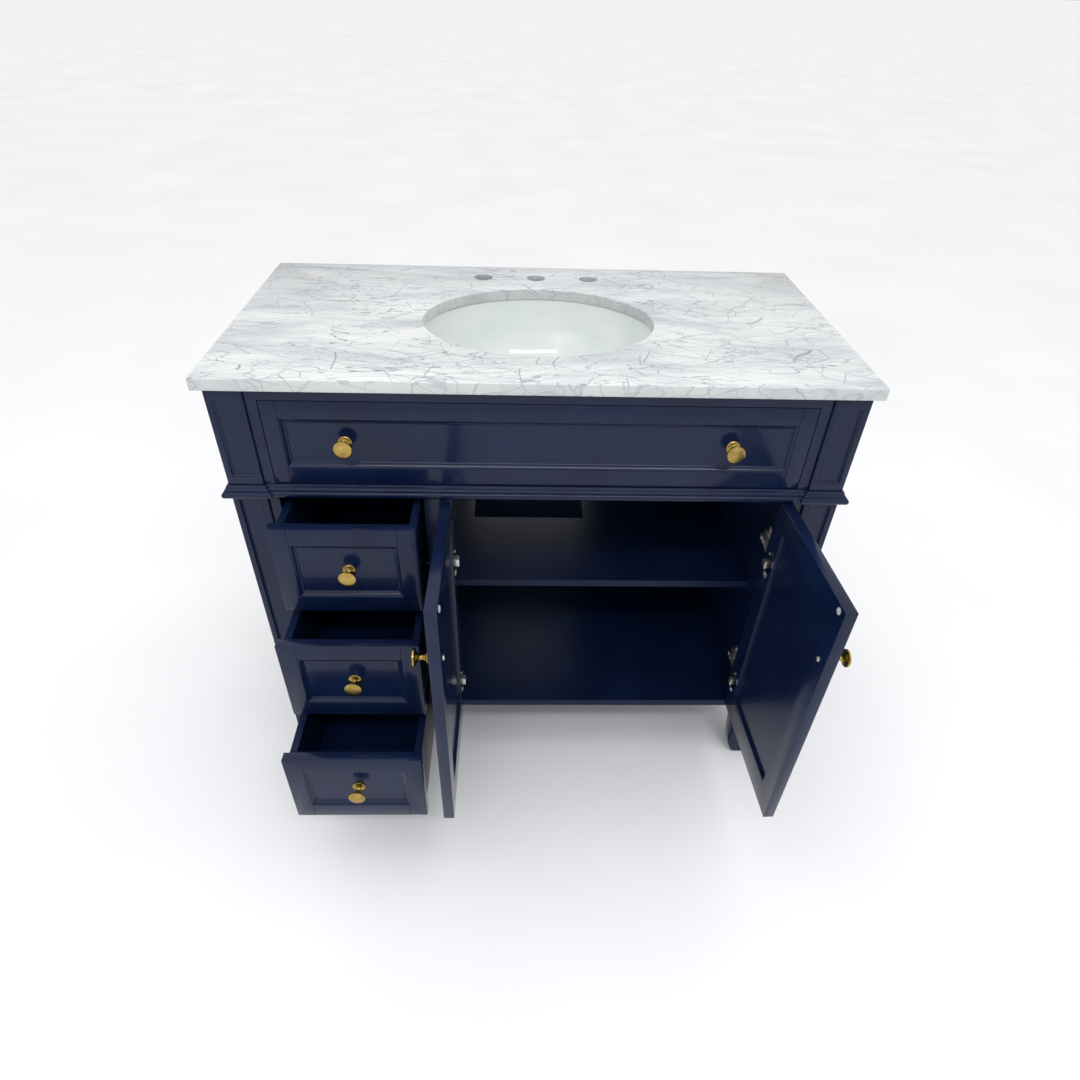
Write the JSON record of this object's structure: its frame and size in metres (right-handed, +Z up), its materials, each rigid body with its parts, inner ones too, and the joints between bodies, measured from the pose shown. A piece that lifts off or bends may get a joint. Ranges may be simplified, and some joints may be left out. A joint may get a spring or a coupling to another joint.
{
  "type": "bathroom vanity cabinet",
  "caption": "Painted bathroom vanity with a marble top, undermount oval basin, a bank of drawers on the left and double doors over a notched shelf.",
  "frame": {"origin": "on the floor, under the middle of the bounding box with the drawers and doors standing open", "axes": "+X to the right of a person facing the front, front faces -Y, +Z up"},
  "size_m": [1.016, 0.8392, 0.853],
  "materials": {
    "navy_paint": "navy semi-gloss lacquer over hardwood",
    "navy_interior": "navy satin lacquer over plywood",
    "marble": "polished white marble with grey veins",
    "vitreous_china": "white glaze",
    "brass": "satin brushed brass",
    "hinge_nickel": "nickel plated steel",
    "screw_steel": "zinc plated steel",
    "slide_zinc": "zinc plated steel",
    "bumper_rubber": "clear soft rubber"
  },
  "bodies": {
    "cabinet": {"countertop": "marble", "basin": "vitreous_china", "face_frame": "navy_paint", "false_front": "navy_paint", "knob_false_left": "brass", "knob_false_right": "brass", "pilaster_upper_left": "navy_paint", "pilaster_upper_right": "navy_paint", "pilaster_lower_left": "navy_paint", "pilaster_lower_right": "navy_paint", "waist_moulding": "navy_paint", "side_panel_left": "navy_paint", "side_panel_right": "navy_paint", "bottom_panel": "navy_interior", "back_panel": "navy_interior", "inner_wall_left": "navy_interior", "inner_wall_right": "navy_interior", "partition": "navy_interior", "shelf": "navy_interior", "front_stretcher": "navy_interior", "hinge_mount_left_upper": "hinge_nickel", "hinge_mount_left_lower": "hinge_nickel", "hinge_mount_right_upper": "hinge_nickel", "hinge_mount_right_lower": "hinge_nickel", "runner_top_left": "slide_zinc", "runner_top_right": "slide_zinc", "runner_middle_left": "slide_zinc", "runner_middle_right": "slide_zinc", "runner_bottom_left": "slide_zinc", "runner_bottom_right": "slide_zinc"},
    "drawer_top": {"drawer_front_top": "navy_paint", "drawer_box_top": "navy_interior", "knob_drawer_top": "brass", "slide_rail_top_left": "slide_zinc", "slide_rail_top_right": "slide_zinc"},
    "drawer_middle": {"drawer_front_middle": "navy_paint", "drawer_box_middle": "navy_interior", "knob_drawer_middle": "brass", "slide_rail_middle_left": "slide_zinc", "slide_rail_middle_right": "slide_zinc"},
    "drawer_bottom": {"drawer_front_bottom": "navy_paint", "drawer_box_bottom": "navy_interior", "knob_drawer_bottom": "brass", "slide_rail_bottom_left": "slide_zinc", "slide_rail_bottom_right": "slide_zinc"},
    "door_left_leaf": {"door_left": "navy_paint", "knob_door_left": "brass", "screw_left": "screw_steel", "bumper_left": "bumper_rubber", "hinge_cup_left_upper": "hinge_nickel", "hinge_cup_left_lower": "hinge_nickel"},
    "door_right_leaf": {"door_right": "navy_paint", "knob_door_right": "brass", "screw_right": "screw_steel", "bumper_right": "bumper_rubber", "hinge_cup_right_upper": "hinge_nickel", "hinge_cup_right_lower": "hinge_nickel"}
  },
  "joints": [
    {"name": "drawer_top_slide", "type": "slide", "parent": "cabinet", "child": "drawer_top", "axis": [0, -1, 0], "range_m": [-0.097, 0.233]},
    {"name": "drawer_middle_slide", "type": "slide", "parent": "cabinet", "child": "drawer_middle", "axis": [0, -1, 0], "range_m": [-0.18, 0.15]},
    {"name": "drawer_bottom_slide", "type": "slide", "parent": "cabinet", "child": "drawer_bottom", "axis": [0, -1, 0], "range_m": [-0.278, 0.052]},
    {"name": "door_left_hinge", "type": "hinge", "parent": "cabinet", "child": "door_left_leaf", "pos_m": [-0.159, -0.12025, 0.39], "axis": [0, 0, -1], "range_deg": [-90.4, 0]},
    {"name": "door_right_hinge", "type": "hinge", "parent": "cabinet", "child": "door_right_leaf", "pos_m": [0.418, -0.12025, 0.39], "axis": [0, 0, 1], "range_deg": [-92, 13]}
  ]
}
